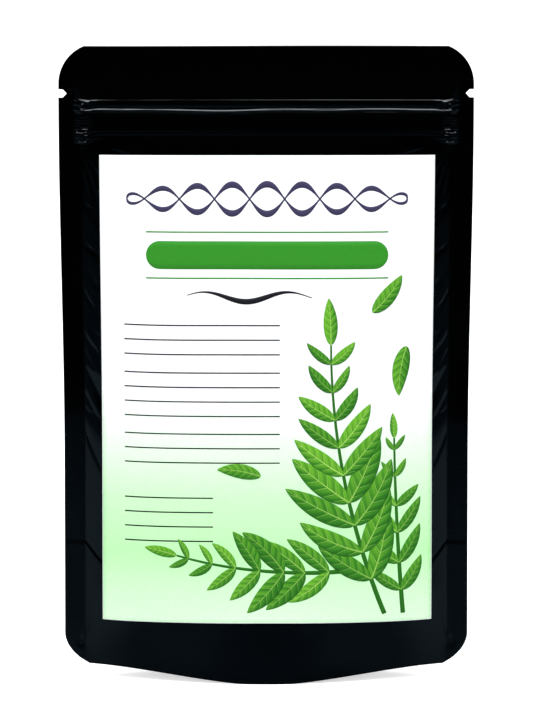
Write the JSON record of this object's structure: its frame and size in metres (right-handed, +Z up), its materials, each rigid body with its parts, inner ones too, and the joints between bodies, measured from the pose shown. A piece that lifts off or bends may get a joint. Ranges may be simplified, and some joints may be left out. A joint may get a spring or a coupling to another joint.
{
  "type": "stand-up pouch",
  "caption": "Black resealable stand-up pouch with a press-to-close zip, tear notches, a folded bottom gusset, a white paper label and a filling of dried mint leaves.",
  "frame": {"origin": "on the surface the pouch stands on, below the middle of its bounding box", "axes": "+Z up towards the tear-off header, +X to the right as seen from the label side, -Y out of the label side"},
  "size_m": [0.13, 0.0286, 0.202],
  "materials": {
    "film": "black laminated film, smooth and glossy, with a fine knurl in the heat seals",
    "zip": "extruded black polyethylene strip",
    "label_paper": "white coated paper with a plain printed design",
    "dried_leaf": "crumbled dried mint leaf, matt and crisp"
  },
  "bodies": {
    "root": {"front_panel": "film", "back_panel": "film", "bottom_gusset": "film", "zip_rib_strip": "zip", "zip_channel_strip": "zip", "front_label": "label_paper", "dried_leaf_fill": "dried_leaf"}
  },
  "joints": []
}
